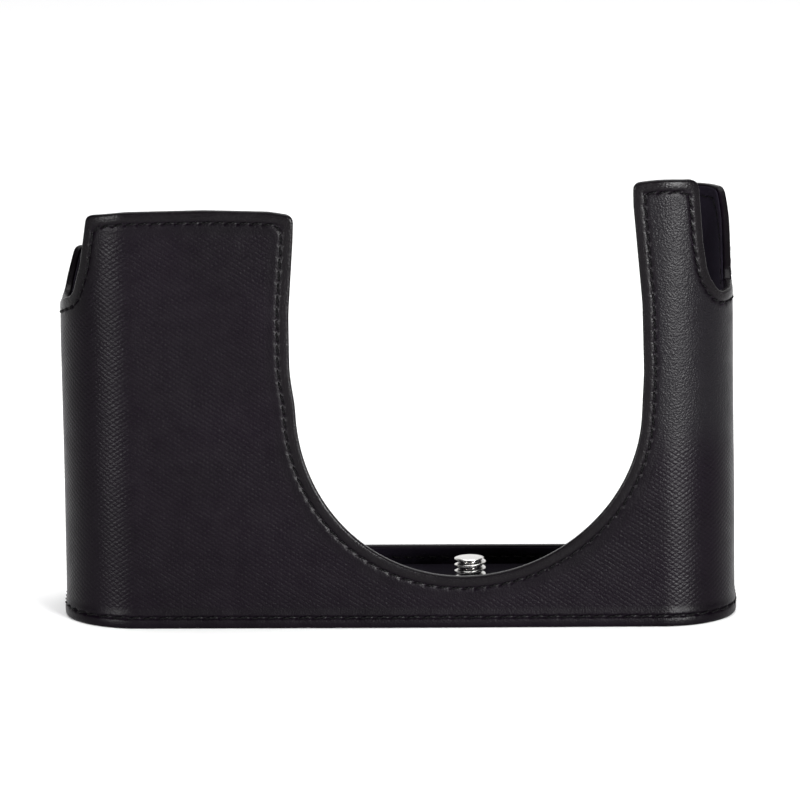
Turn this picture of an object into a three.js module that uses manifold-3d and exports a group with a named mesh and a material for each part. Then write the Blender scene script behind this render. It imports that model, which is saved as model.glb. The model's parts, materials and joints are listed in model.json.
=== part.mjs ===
// Leather half case for a compact camera: the fitted lower part of an ever-ready case.
// Millimetres, +Z up, +X to the right when the lens cutout faces the viewer, front at -Y.
// The walls are cut flat as panels and bent round the footprint, as a case maker does it.

import * as THREE from 'three';
import { mergeVertices } from 'three/addons/utils/BufferGeometryUtils.js';
import Module from 'manifold-3d';

const wasm = await Module();
wasm.setup();

// ---------------------------------------------------------------- driving dimensions

// Footprint of the outer leather: straight sides with round corners.
const HALF_LENGTH = 67.25;
const HALF_DEPTH = 20.6;
const END_RADIUS = 15;
const END_STEPS = 9;

// The soft walls lean a little to the left above the stiff base.
const LEAN = 0.0105;
const LEAN_START = 5;

// Layers of the wall, measured inwards from the outer face.
const LEATHER = 0.9;
const BOARD_IN = 0.95;
const BOARD_OUT = 1.45;
const LINING_IN = 1.5;
const LINING_OUT = 1.95;

// Borders of the layers, measured along the pattern.
const TURNED_EDGE = 5;
const LINING_INSET = 0.35;
const SEAM_GAP = 0.03;
const TAPE_HALF = 5;
const TAPE_GAP = 1;
const TAPE_TOP = 58.5;
const STIFFENER_BOTTOM = 5.35;

// Layers of the base, measured up from the ground.
const BASE_LEATHER_TOP = 1.1;
const FLANGE_TOP = 5.2;
const BOARD_BOTTOM = 1.2;
const BOARD_TOP = 3.2;
const FLOOR_BOTTOM = 3.3;
const FLOOR_TOP = 4.2;

// Lens cutout: a round bottom that is pulled a little to the left.
const CUTOUT_X = 14.1;
const CUTOUT_Z = 45;
const CUTOUT_RADIUS = 34.55;
const CUTOUT_SKEW = 1.5;

// Rear opening for the screen.
const REAR_STRIP_TOP = 7.8;
const REAR_OPENING = 51;
const REAR_CORNER = 14;

// Stitch rows.
const STITCH_INSET = 2.35;
const THREAD_WIDTH = 0.5;
const THREAD_BOTTOM = 0.05;
const THREAD_TOP = 0.3;
const BASE_STITCH_Z = 2.25;

// Captive camera screw, 1/4 inch with 20 threads to the inch.
const SCREW_X = 14;
const THREAD_MAJOR = 3.175;
const THREAD_MINOR = 2.47;
const THREAD_PITCH = 1.27;
const THREAD_START = 4.1;
const THREAD_TURN = 0.48;
const THREAD_FLANK = 3.2;
const SCREW_TOP = 9.8;
const TIP_RADIUS = 2.95;
const NECK_RADIUS = 2.3;
const HEAD_RADIUS = 10;
const HEAD_BOTTOM = 0.2;
const HEAD_TOP = 1.75;
const HEAD_CHAMFER = 0.4;
const HEAD_BREAK = 0.2;
const SLOT_WIDTH = 1.6;
const SLOT_DEPTH = 0.8;
const SLOT_LENGTH = 14;

// Steel plate that holds the screw, with its rivets.
const PLATE_BOTTOM = 2.4;
const PLATE_LENGTH = 42;
const PLATE_DEPTH = 24;
const PLATE_CORNER = 3;
const PLATE_HOLE = 3.4;
const RIVET_X = 17;
const RIVET_Y = 8;
const RIVET_HEAD = 1.9;
const RIVET_SHANK = 1;
const RIVET_BOTTOM = 1.3;

const CLIP_OUTER = 5.2;
const CLIP_INNER = 2.5;
const CLIP_GAP = 0.62;
const CLIP_BOTTOM = 3.25;
const CLIP_TOP = 3.75;
const FLOOR_HOLE = 6.3;

const RING_OUTER = 12;
const RING_INNER = 10.4;
const RING_BOTTOM = 0.15;
const RING_BREAK = 0.25;

// Gap between pieces that meet, and how far a cutting shape runs past the face it opens.
const CLEAR = 0.3;
const OVERCUT = 1;
const BORDER_GAP = 0.1;
const POCKET_GAP = 0.05;

// Distances along the footprint, from the middle of the front, to the right.
const STRAIGHT = HALF_LENGTH - END_RADIUS;
const QUARTER = (END_RADIUS * Math.PI) / 2;
const END_FLAT = 2 * (HALF_DEPTH - END_RADIUS);
const SEAM = STRAIGHT + QUARTER + END_FLAT / 2;
const HALF_ROUND = 2 * SEAM;
const ROUND = 2 * HALF_ROUND;

// ---------------------------------------------------------------- materials

const material = (color, roughness, metalness) =>
  new THREE.MeshStandardMaterial({ color, roughness, metalness });

const leather = () => material(0x201c20, 0.5, 0);
const board = () => material(0x6b5a47, 0.9, 0);
const suede = () => material(0x15141a, 0.95, 0);
const thread = () => material(0x121114, 0.7, 0);
const nickel = () => material(0xd8d6d2, 0.2, 1);
const steel = () => material(0x9a9b9d, 0.35, 1);

// ---------------------------------------------------------------- footprint and bending

// Where the distance s along the footprint lies, and the inward direction there.
function footprintPoint(s) {
  const around = ((s + HALF_ROUND) % ROUND + ROUND) % ROUND - HALF_ROUND;
  const side = around < 0 ? -1 : 1;
  const a = Math.abs(around);
  const yCentre = HALF_DEPTH - END_RADIUS;
  const ends = [STRAIGHT, STRAIGHT + QUARTER, STRAIGHT + QUARTER + END_FLAT];
  if (a <= ends[0]) return { x: side * a, y: -HALF_DEPTH, nx: 0, ny: 1 };
  if (a >= ROUND / 2 - STRAIGHT) return { x: side * (ROUND / 2 - a), y: HALF_DEPTH, nx: 0, ny: -1 };
  if (a > ends[1] && a < ends[2]) {
    return { x: side * HALF_LENGTH, y: a - ends[1] - yCentre, nx: -side, ny: 0 };
  }
  const front = a <= ends[1];
  const turn = front ? (a - ends[0]) / END_RADIUS : (ROUND / 2 - STRAIGHT - a) / END_RADIUS;
  const nx = -side * Math.sin(turn);
  const ny = front ? Math.cos(turn) : -Math.cos(turn);
  const centreY = front ? -yCentre : yCentre;
  return { x: side * STRAIGHT - END_RADIUS * nx, y: centreY - END_RADIUS * ny, nx, ny };
}

// The distances s at which the bent walls fold from facet to facet, from the left rear
// corner, round the front and the back, to the left front corner.
const FOLDS = (() => {
  const corner = Array.from({ length: END_STEPS + 1 }, (_, k) => STRAIGHT + (k * QUARTER) / END_STEPS);
  const right = [...corner, ...corner.map((s) => HALF_ROUND - s).reverse()];
  return [...right.map((s) => -s).reverse(), ...right, ...right.map((s) => ROUND - s).reverse()];
})();

// A point of the wall: s along the footprint, z up, n inwards from the outer face.
// Between two folds the wall is flat.
function wallPoint(s, z, n) {
  const next = FOLDS.findIndex((fold) => fold >= s - 1e-9);
  const [from, to] = [FOLDS[next - 1], FOLDS[next]];
  const t = (s - from) / (to - from);
  const [p, q] = [footprintPoint(from), footprintPoint(to)];
  const x = (p.x + p.nx * n) * (1 - t) + (q.x + q.nx * n) * t;
  const y = (p.y + p.ny * n) * (1 - t) + (q.y + q.ny * n) * t;
  return [x - LEAN * Math.max(0, z - LEAN_START), y, z];
}

// ---------------------------------------------------------------- meshes and solids

// A geometry with only shared positions, as manifold-3d needs it.
function weld(geometry, tolerance = 1e-5) {
  const bare = geometry.clone();
  bare.deleteAttribute('normal');
  bare.deleteAttribute('uv');
  return mergeVertices(bare, tolerance);
}

function toSolid(geometry) {
  const welded = weld(geometry);
  return new wasm.Manifold(new wasm.Mesh({
    numProp: 3,
    vertProperties: new Float32Array(welded.attributes.position.array),
    triVerts: new Uint32Array(welded.index.array),
  }));
}

function fromSolid(solid) {
  const mesh = solid.getMesh();
  const geometry = new THREE.BufferGeometry();
  geometry.setAttribute('position', new THREE.BufferAttribute(mesh.vertProperties.slice(), 3));
  geometry.setIndex(new THREE.BufferAttribute(mesh.triVerts.slice(), 1));
  return geometry;
}

// The part of a polygon on one side of the line where the given axis has the given value.
function keepSide(polygon, axis, value, sign) {
  const kept = [];
  polygon.forEach((p, i) => {
    const q = polygon[(i + 1) % polygon.length];
    const here = (p[axis] - value) * sign;
    const there = (q[axis] - value) * sign;
    if (here >= 0) kept.push(p);
    if (here * there < 0) {
      const t = here / (here - there);
      const crossing = [p[0] + (q[0] - p[0]) * t, p[1] + (q[1] - p[1]) * t];
      crossing[axis] = value;
      kept.push(crossing);
    }
  });
  return kept;
}

// Cuts a polygon into the strips between the given lines.
function strips(polygon, axis, lines) {
  const values = polygon.map((p) => p[axis]);
  const inside = lines.filter((v) => v > Math.min(...values) + 0.01 && v < Math.max(...values) - 0.01);
  const cuts = [-Infinity, ...inside, Infinity];
  return cuts.slice(1).map((high, i) => {
    const above = cuts[i] === -Infinity ? polygon : keepSide(polygon, axis, cuts[i], 1);
    return high === Infinity ? above : keepSide(above, axis, high, -1);
  });
}

// A flat pattern piece, given by its outline of [s, z] points, bent round the footprint
// so that it fills the depths from `outer` to `inner`.
function bentSheet(outline, outer, inner) {
  const positions = [];
  const face = (...corners) => {
    for (const [s, z, n] of corners) positions.push(...wallPoint(s, z, n));
  };
  const onCut = (p, q) =>
    (p[0] === q[0] && FOLDS.includes(p[0])) || (p[1] === LEAN_START && q[1] === LEAN_START);
  for (const column of strips(outline, 0, FOLDS)) {
    for (const piece of strips(column, 1, [LEAN_START])) {
      const contour = piece.map(([s, z]) => new THREE.Vector2(s, z));
      for (const [a, b, c] of THREE.ShapeUtils.triangulateShape(contour, [])) {
        const [p, q, r] = [piece[a], piece[b], piece[c]];
        face([...p, outer], [...q, outer], [...r, outer]);
        face([...p, inner], [...r, inner], [...q, inner]);
      }
      piece.forEach((p, i) => {
        const q = piece[(i + 1) % piece.length];
        if (onCut(p, q)) return;
        face([...p, outer], [...p, inner], [...q, outer]);
        face([...q, outer], [...p, inner], [...q, inner]);
      });
    }
  }
  const geometry = new THREE.BufferGeometry();
  geometry.setAttribute('position', new THREE.Float32BufferAttribute(positions, 3));
  return mergeVertices(geometry, 1e-4);
}

// A flat thread laid on the wall along a line of [s, z] points.
function threadAlong(line, width, outer, inner) {
  const path = [];
  line.forEach((p, i) => {
    if (i > 0) {
      const before = line[i - 1];
      const crossed = FOLDS.filter((v) => (before[0] - v) * (p[0] - v) < 0);
      const parts = crossed.map((v) => (v - before[0]) / (p[0] - before[0]));
      for (const t of parts.sort((a, b) => a - b)) {
        path.push([before[0] + (p[0] - before[0]) * t, before[1] + (p[1] - before[1]) * t]);
      }
    }
    path.push(p);
  });
  const positions = [];
  const index = [];
  path.forEach(([s, z], i) => {
    const [as, az] = path[Math.max(0, i - 1)];
    const [bs, bz] = path[Math.min(path.length - 1, i + 1)];
    const length = Math.hypot(bs - as, bz - az);
    const across = [(-(bz - az) / length) * (width / 2), ((bs - as) / length) * (width / 2)];
    for (const [side, n] of [[-1, outer], [1, outer], [1, inner], [-1, inner]]) {
      positions.push(...wallPoint(s + side * across[0], z + side * across[1], n));
    }
    if (i > 0) {
      for (let k = 0; k < 4; k += 1) {
        const a = 4 * (i - 1) + k;
        const b = 4 * (i - 1) + ((k + 1) % 4);
        index.push(a, a + 4, b, b, a + 4, b + 4);
      }
    }
  });
  const last = 4 * (path.length - 1);
  index.push(0, 1, 2, 0, 2, 3, last, last + 2, last + 1, last, last + 3, last + 2);
  const geometry = new THREE.BufferGeometry();
  geometry.setAttribute('position', new THREE.Float32BufferAttribute(positions, 3));
  geometry.setIndex(index);
  return geometry;
}

// The footprint `n` inside the outer face.
function footprintOutline(n) {
  const once = FOLDS.filter((s) => s > 0 && s < ROUND);
  return once.map((s) => {
    const p = footprintPoint(s);
    return new THREE.Vector2(p.x + p.nx * n, p.y + p.ny * n);
  });
}

function circlePath(x, y, radius, steps = 48) {
  const path = new THREE.Path();
  const points = Array.from({ length: steps }, (_, i) => {
    const turn = (2 * Math.PI * i) / steps;
    return new THREE.Vector2(x + radius * Math.cos(turn), y + radius * Math.sin(turn));
  });
  path.setFromPoints(points);
  return path;
}

function roundedRectangle(x, y, length, depth, corner) {
  const shape = new THREE.Shape();
  const corners = [[1, -1, -0.5], [1, 1, 0], [-1, 1, 0.5], [-1, -1, 1]];
  for (const [sx, sy, start] of corners) {
    const cx = x + sx * (length / 2 - corner);
    const cy = y + sy * (depth / 2 - corner);
    shape.absarc(cx, cy, corner, start * Math.PI, (start + 0.5) * Math.PI, false);
  }
  return shape;
}

// A flat layer between two heights, from a shape and the holes through it.
function layer(shape, bottom, top, holes = []) {
  shape.holes.push(...holes);
  const options = { depth: top - bottom, bevelEnabled: false, curveSegments: 8 };
  return new THREE.ExtrudeGeometry(shape, options).translate(0, 0, bottom);
}

// ---------------------------------------------------------------- pattern outlines

// A polyline through [s, z, radius] corners, with each corner rounded by its radius.
function rounded(corners) {
  const line = [];
  corners.forEach(([s, z, radius], i) => {
    const corner = new THREE.Vector2(s, z);
    if (!radius) {
      line.push([s, z]);
      return;
    }
    const before = new THREE.Vector2(...corners[i - 1].slice(0, 2)).sub(corner);
    const after = new THREE.Vector2(...corners[i + 1].slice(0, 2)).sub(corner);
    const half = Math.abs(before.angleTo(after)) / 2;
    const reach = Math.min(radius / Math.tan(half), before.length() / 2, after.length() / 2);
    const start = corner.clone().addScaledVector(before.normalize(), reach);
    const end = corner.clone().addScaledVector(after.normalize(), reach);
    const bend = new THREE.QuadraticBezierCurve(start, corner, end);
    const steps = Math.max(2, Math.ceil((Math.PI - 2 * half) / 0.28));
    for (const p of bend.getPoints(steps)) line.push([p.x, p.y]);
  });
  return line;
}

// The round bottom of the lens cutout, from its left side to its right side.
function cutoutArc() {
  const steps = 34;
  return Array.from({ length: steps + 1 }, (_, i) => {
    const turn = (i / steps - 0.5) * Math.PI;
    const drop = Math.cos(turn);
    const s = CUTOUT_X + CUTOUT_RADIUS * Math.sin(turn) - CUTOUT_SKEW * drop * drop;
    return [s, CUTOUT_Z - CUTOUT_RADIUS * drop];
  });
}

// The upper edge of the front panel, from the left seam to the right seam:
// left lug notch, grip tower, lens cutout, pillar, right lug notch.
function frontEdge() {
  const tower = rounded([
    [-SEAM, 63.5], [-75, 64.3, 20], [-66.9, 66.9, 4], [-64.2, 73.6, 10], [-62.3, 83.7, 1.9],
    [-54, 84.8, 24], [-38, 85.15, 60], [-25, 84.8, 14], [-20.2, 84, 2], [-20.4, 79, 16],
    [-21.5, 64, 40], [-21.5, 52, 30], [-20.6, 46],
  ]);
  const pillar = rounded([
    [48.75, 46], [49.1, 52, 30], [48.9, 66, 40], [47.3, 86, 20], [47.3, 90.3, 1.8],
    [53, 91, 30], [60.9, 90.6, 2.4], [61.9, 78, 20], [63.1, 71.2, 8], [66.6, 66.9, 5],
    [SEAM, 66.8],
  ]);
  return [...tower, ...cutoutArc().slice(1, -1), ...pillar];
}

// The upper edge of the back panel, from the right seam to the left seam:
// right post, low strip below the screen, left post.
function backEdge() {
  return rounded([
    [SEAM, 66.8], [83.6, 68.4, 4], [88.5, 78, 10], [92.3, 83.6, 3],
    [97, 83.5, 20], [HALF_ROUND - REAR_OPENING, 82.6, 4],
    [HALF_ROUND - REAR_OPENING, REAR_STRIP_TOP, REAR_CORNER],
    [HALF_ROUND + REAR_OPENING, REAR_STRIP_TOP, REAR_CORNER],
    [HALF_ROUND + REAR_OPENING, 71.2, 4], [230.2, 71.5, 2.2], [232.7, 67.6, 5],
    [236, 63.2, 4], [ROUND - SEAM, 63.5],
  ]);
}

function distanceToLine(point, line) {
  let nearest = Infinity;
  for (let i = 0; i < line.length - 1; i += 1) {
    const [ax, az] = line[i];
    const [bx, bz] = line[i + 1];
    const length = (bx - ax) ** 2 + (bz - az) ** 2;
    const along = ((point[0] - ax) * (bx - ax) + (point[1] - az) * (bz - az)) / length;
    const t = Math.min(1, Math.max(0, along));
    const gap = Math.hypot(point[0] - ax - t * (bx - ax), point[1] - az - t * (bz - az));
    nearest = Math.min(nearest, gap);
  }
  return nearest;
}

// The same line with points no further apart than a given step.
function dense(line, step) {
  return line.flatMap((p, i) => {
    if (i === 0) return [p];
    const before = line[i - 1];
    const parts = Math.ceil(Math.hypot(p[0] - before[0], p[1] - before[1]) / step);
    return Array.from({ length: parts }, (_, k) => {
      const t = (k + 1) / parts;
      return [before[0] + (p[0] - before[0]) * t, before[1] + (p[1] - before[1]) * t];
    });
  });
}

// The line without the points that lie within a tolerance of their neighbours' line.
function simplified(line, tolerance) {
  const kept = [line[0]];
  let skipped = [];
  for (let i = 1; i < line.length - 1; i += 1) {
    const chord = [kept.at(-1), line[i + 1]];
    skipped.push(line[i]);
    if (skipped.some((p) => distanceToLine(p, chord) > tolerance)) {
      kept.push(line[i]);
      skipped = [];
    }
  }
  return [...kept, line.at(-1)];
}

// The stretch of a line between two distances along the footprint.
function between(line, from, to) {
  const cross = (p, q, s) => [s, p[1] + ((q[1] - p[1]) * (s - p[0])) / (q[0] - p[0])];
  const first = line.findIndex((p) => p[0] > from);
  const last = line.findLastIndex((p) => p[0] < to);
  const start = first > 0 ? cross(line[first - 1], line[first], from) : [from, line[0][1]];
  const end = last < line.length - 1 ? cross(line[last], line[last + 1], to) : [to, line.at(-1)[1]];
  return [start, ...line.slice(first, last + 1), end];
}

// The line `distance` inside an upper edge, kept between two ends.
function insetEdge(edge, distance, from, to) {
  if (distance === 0) return between(edge, from, to);
  const fine = dense(edge, 0.7);
  const moved = fine.map(([s, z], i) => {
    const [as, az] = fine[Math.max(0, i - 1)];
    const [bs, bz] = fine[Math.min(fine.length - 1, i + 1)];
    const length = Math.hypot(bs - as, bz - az);
    return [s + ((bz - az) / length) * distance, z - ((bs - as) / length) * distance];
  });
  const apart = moved.filter((p) => distanceToLine(p, fine) > 0.98 * distance);
  return simplified(between(apart, from, to), 0.03);
}

// A whole panel: the inset upper edge closed along the bottom.
function panelOutline(edge, { inset = 0, endGap = 0, bottom = 0 }) {
  const from = edge[0][0] + endGap;
  const to = edge.at(-1)[0] - endGap;
  return [[from, bottom], [to, bottom], ...insetEdge(edge, inset, from, to).reverse()];
}

// The line of the stitch row inside an upper edge.
function stitchLine(edge) {
  return insetEdge(edge, STITCH_INSET, edge[0][0] + 0.1, edge.at(-1)[0] - 0.1);
}

// ---------------------------------------------------------------- screw

// One turn-by-turn surface from the head to the tip: rows of equal height, each with its
// radius, and the helical thread where a row is on the threaded shank.
function screwGeometry() {
  const around = 24;
  const rowsPerPitch = 5;
  const rows = [
    { z: HEAD_BOTTOM, r: 0 }, { z: HEAD_BOTTOM, r: HEAD_RADIUS - HEAD_CHAMFER },
    { z: HEAD_BOTTOM + HEAD_CHAMFER, r: HEAD_RADIUS }, { z: HEAD_TOP - HEAD_BREAK, r: HEAD_RADIUS },
    { z: HEAD_TOP, r: HEAD_RADIUS - HEAD_BREAK }, { z: HEAD_TOP, r: NECK_RADIUS },
    { z: THREAD_START, r: NECK_RADIUS },
  ];
  const count = Math.round(((SCREW_TOP - THREAD_START) / THREAD_PITCH) * rowsPerPitch);
  for (let i = 1; i <= count; i += 1) {
    rows.push({ z: THREAD_START + (i / count) * (SCREW_TOP - THREAD_START), threaded: true });
  }
  rows.push({ z: SCREW_TOP, r: 0 });
  const radius = (row, turn) => {
    if (!row.threaded) return row.r;
    const phase = (((row.z / THREAD_PITCH - turn - THREAD_TURN) % 1) + 1) % 1;
    const ridge = Math.min(1, Math.max(0, 1.5 - THREAD_FLANK * Math.abs(phase - 0.5)));
    const thread = THREAD_MINOR + (THREAD_MAJOR - THREAD_MINOR) * ridge;
    const tip = TIP_RADIUS + (SCREW_TOP - row.z);
    const root = NECK_RADIUS + (row.z - THREAD_START);
    return Math.min(thread, tip, root);
  };
  const positions = [];
  const index = [];
  rows.forEach((row, j) => {
    for (let i = 0; i < around; i += 1) {
      const r = radius(row, i / around);
      const angle = (2 * Math.PI * i) / around;
      positions.push(r * Math.cos(angle), r * Math.sin(angle), row.z);
      if (j > 0) {
        const a = (j - 1) * around + i;
        const b = (j - 1) * around + ((i + 1) % around);
        index.push(a, b, b + around, a, b + around, a + around);
      }
    }
  });
  const geometry = new THREE.BufferGeometry();
  geometry.setAttribute('position', new THREE.Float32BufferAttribute(positions, 3));
  geometry.setIndex(index);
  return dropSlivers(weld(geometry));
}

// Removes the triangles that lost a corner where a row closes on the axis.
function dropSlivers(geometry) {
  const kept = [];
  const { index } = geometry;
  for (let i = 0; i < index.count; i += 3) {
    const [a, b, c] = [index.getX(i), index.getX(i + 1), index.getX(i + 2)];
    if (a !== b && b !== c && c !== a) kept.push(a, b, c);
  }
  geometry.setIndex(kept);
  return geometry;
}

function lathe(profile, steps = 48) {
  const points = profile.map(([r, z]) => new THREE.Vector2(r, z));
  return dropSlivers(weld(new THREE.LatheGeometry(points, steps).rotateX(Math.PI / 2)));
}

// ---------------------------------------------------------------- pieces

const model = new THREE.Group();

function add(name, geometry, finish, x = 0, y = 0) {
  const mesh = new THREE.Mesh(geometry, finish);
  mesh.name = name;
  mesh.position.set(x, y, 0);
  model.add(mesh);
}

// Walls: leather outside, suede lining inside.
for (const [name, edge] of [['front', frontEdge()], ['back', backEdge()]]) {
  const skin = panelOutline(edge, { endGap: SEAM_GAP });
  add(`${name}_leather`, bentSheet(skin, 0, LEATHER), leather());
  const inner = panelOutline(edge, { inset: LINING_INSET, endGap: SEAM_GAP, bottom: FLOOR_BOTTOM });
  add(`${name}_lining`, bentSheet(inner, LINING_IN, LINING_OUT), suede());
  const row = threadAlong(stitchLine(edge), THREAD_WIDTH, -THREAD_TOP, -THREAD_BOTTOM);
  add(`${name}_edge_thread`, row, thread());
}

// Stiffener boards between leather and lining: one in the front wall, one in each rear post.
const stiffFront = panelOutline(frontEdge(), {
  inset: TURNED_EDGE, endGap: TAPE_HALF + TAPE_GAP, bottom: STIFFENER_BOTTOM,
});
add('front_stiffener', bentSheet(stiffFront, BOARD_IN, BOARD_OUT), board());

const rightPost = [SEAM + TAPE_HALF + TAPE_GAP, HALF_ROUND - REAR_OPENING - TURNED_EDGE];
const leftPost = [HALF_ROUND + REAR_OPENING + TURNED_EDGE, ROUND - SEAM - TAPE_HALF - TAPE_GAP];
const postBoards = [
  ['rear_right_stiffener', [
    [rightPost[0], STIFFENER_BOTTOM], [rightPost[1], STIFFENER_BOTTOM],
    [rightPost[1], 77.5], [rightPost[1] - 2, 79], [96, 79.4], [92, 74], [rightPost[0], 63],
  ]],
  ['rear_left_stiffener', [
    [leftPost[0], STIFFENER_BOTTOM], [leftPost[1], STIFFENER_BOTTOM],
    [leftPost[1], 58.5], [231.5, 59.5], [228.5, 66.5], [leftPost[0] + 2, 67], [leftPost[0], 65.5],
  ]],
];
for (const [name, corners] of postBoards) {
  add(name, bentSheet(corners, BOARD_IN, BOARD_OUT), board());
}

// Tapes behind the two upright seams at the ends.
for (const [name, middle] of [['right_seam_tape', SEAM], ['left_seam_tape', -SEAM]]) {
  const corners = [
    [middle - TAPE_HALF, STIFFENER_BOTTOM], [middle + TAPE_HALF, STIFFENER_BOTTOM],
    [middle + TAPE_HALF, TAPE_TOP], [middle - TAPE_HALF, TAPE_TOP],
  ];
  add(name, bentSheet(corners, BOARD_IN, BOARD_OUT), suede());
}

// Base: a leather tray whose flange is stitched to the walls, a board and the suede floor.
const footprint = (n) => new THREE.Shape(footprintOutline(n));
const hole = (n) => new THREE.Path(footprintOutline(n));
const ringHole = circlePath(SCREW_X, 0, RING_OUTER + CLEAR);
const tray = toSolid(layer(footprint(BOARD_IN), 0, BASE_LEATHER_TOP, [ringHole]));
const flange = toSolid(layer(footprint(BOARD_IN), BASE_LEATHER_TOP / 2, FLANGE_TOP, [hole(BOARD_OUT)]));
add('base_leather', fromSolid(tray.add(flange)), leather());

const rivetPlaces = [[-1, -1], [1, -1], [1, 1], [-1, 1]].map(([sx, sy]) =>
  [SCREW_X + sx * RIVET_X, sy * RIVET_Y]);
const boardHoles = [
  circlePath(SCREW_X, 0, RING_INNER + CLEAR),
  ...rivetPlaces.map(([x, y]) => circlePath(x, y, RIVET_SHANK + CLEAR, 16)),
];
const boardShape = footprint(BOARD_OUT + BORDER_GAP);
const fullBoard = toSolid(layer(boardShape, BOARD_BOTTOM, BOARD_TOP, boardHoles));
const pocket = toSolid(layer(
  roundedRectangle(SCREW_X, 0, PLATE_LENGTH + 2 * CLEAR, PLATE_DEPTH + 2 * CLEAR, PLATE_CORNER),
  PLATE_BOTTOM - POCKET_GAP,
  BOARD_TOP + OVERCUT,
));
add('base_board', fromSolid(fullBoard.subtract(pocket)), board());

add('floor_lining', layer(
  footprint(LINING_OUT + BORDER_GAP), FLOOR_BOTTOM, FLOOR_TOP, [circlePath(SCREW_X, 0, FLOOR_HOLE)],
), suede());

// The thread of the seam all round the foot of the walls.
add('base_seam_thread', layer(
  footprint(-THREAD_TOP), BASE_STITCH_Z - THREAD_WIDTH / 2, BASE_STITCH_Z + THREAD_WIDTH / 2,
  [hole(-THREAD_BOTTOM)],
), thread());

// Screw plate and its rivets.
const plateHoles = [
  circlePath(0, 0, PLATE_HOLE, 32),
  ...rivetPlaces.map(([x, y]) => circlePath(x - SCREW_X, y, RIVET_HEAD + CLEAR, 20)),
];
add('screw_plate', layer(
  roundedRectangle(0, 0, PLATE_LENGTH, PLATE_DEPTH, PLATE_CORNER), PLATE_BOTTOM, BOARD_TOP, plateHoles,
), steel(), SCREW_X);

rivetPlaces.forEach(([x, y], i) => {
  const head = PLATE_BOTTOM + CLEAR / 2;
  const profile = [
    [0, RIVET_BOTTOM], [RIVET_SHANK, RIVET_BOTTOM], [RIVET_SHANK, head],
    [RIVET_HEAD, head], [RIVET_HEAD, BOARD_TOP], [0, BOARD_TOP],
  ];
  add(`plate_rivet_${i + 1}`, lathe(profile, 20), steel(), x, y);
});

// Trim ring let into the underside round the screw head.
add('screw_trim_ring', lathe([
  [RING_INNER, RING_BOTTOM + RING_BREAK], [RING_INNER + RING_BREAK, RING_BOTTOM],
  [RING_OUTER - RING_BREAK, RING_BOTTOM], [RING_OUTER, RING_BOTTOM + RING_BREAK],
  [RING_OUTER, BASE_LEATHER_TOP], [RING_INNER, BASE_LEATHER_TOP],
  [RING_INNER, RING_BOTTOM + RING_BREAK],
]), nickel(), SCREW_X);

// Open retaining clip on the neck of the screw, above the plate.
const clipShape = new THREE.Shape();
clipShape.absarc(0, 0, CLIP_OUTER, CLIP_GAP, 2 * Math.PI - CLIP_GAP, false);
clipShape.absarc(0, 0, CLIP_INNER, 2 * Math.PI - CLIP_GAP, CLIP_GAP, true);
const clip = new THREE.ExtrudeGeometry(clipShape, {
  depth: CLIP_TOP - CLIP_BOTTOM, bevelEnabled: false, curveSegments: 28,
});
add('retaining_clip', clip.translate(0, 0, CLIP_BOTTOM), steel(), SCREW_X);

// The screw, with a coin slot across the underside of its head.
const slot = toSolid(new THREE.BoxGeometry(SLOT_LENGTH, SLOT_WIDTH, 2 * SLOT_DEPTH)
  .translate(0, 0, HEAD_BOTTOM));
add('tripod_screw', fromSolid(toSolid(screwGeometry()).subtract(slot)), nickel(), SCREW_X);

export default model;
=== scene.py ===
"""Stitched leather half case for a compact camera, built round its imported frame.

The walls are pattern panels: [s, z] points, s along the footprint from the middle of the front
and z up, bent round the stadium footprint of the base. Pattern sizes are in millimetres, and a
depth n is measured inwards from the outer face of the wall.
"""

import json
import math

import bmesh
import bpy
import numpy as np
from bpy.props import FloatProperty, FloatVectorProperty, PointerProperty
from mathutils import Matrix, Vector
from mathutils.geometry import delaunay_2d_cdt
from mathutils.kdtree import KDTree


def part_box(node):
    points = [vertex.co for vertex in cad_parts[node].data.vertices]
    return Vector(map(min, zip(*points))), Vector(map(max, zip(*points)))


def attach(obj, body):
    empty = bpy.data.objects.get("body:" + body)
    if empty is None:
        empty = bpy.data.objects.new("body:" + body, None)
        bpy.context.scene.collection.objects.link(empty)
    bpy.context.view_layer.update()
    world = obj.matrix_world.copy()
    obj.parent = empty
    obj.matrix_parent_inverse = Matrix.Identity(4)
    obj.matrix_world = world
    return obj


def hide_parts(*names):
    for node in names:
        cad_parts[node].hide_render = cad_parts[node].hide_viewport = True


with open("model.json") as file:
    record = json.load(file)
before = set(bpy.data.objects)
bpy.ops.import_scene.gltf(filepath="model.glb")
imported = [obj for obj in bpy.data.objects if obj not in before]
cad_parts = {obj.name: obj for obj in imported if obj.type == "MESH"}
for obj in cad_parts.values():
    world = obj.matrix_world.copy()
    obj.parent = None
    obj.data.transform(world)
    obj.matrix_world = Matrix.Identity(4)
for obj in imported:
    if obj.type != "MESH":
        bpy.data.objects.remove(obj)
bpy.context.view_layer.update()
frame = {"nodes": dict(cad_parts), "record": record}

bl_info = {
    "name": "Leather Half Case",
    "version": (1, 0, 0),
    "blender": (4, 5, 0),
    "location": "3D View > Sidebar > Half Case",
    "description": "Makes the visible pieces of a stitched leather camera half case",
    "category": "Object",
}

MM = 0.001

# ---- pattern sizes

# Footprint of the outer leather, from the seam thread that runs round the foot.
THREAD_PROUD = 0.3
FOOT_LOW, FOOT_HIGH = (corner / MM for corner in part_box("base_seam_thread"))
HALF_LENGTH = (FOOT_HIGH.x - FOOT_LOW.x) / 2 - THREAD_PROUD
HALF_DEPTH = (FOOT_HIGH.y - FOOT_LOW.y) / 2 - THREAD_PROUD
END_RADIUS = 15
FOOT_STITCH_Z = (FOOT_LOW.z + FOOT_HIGH.z) / 2

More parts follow.
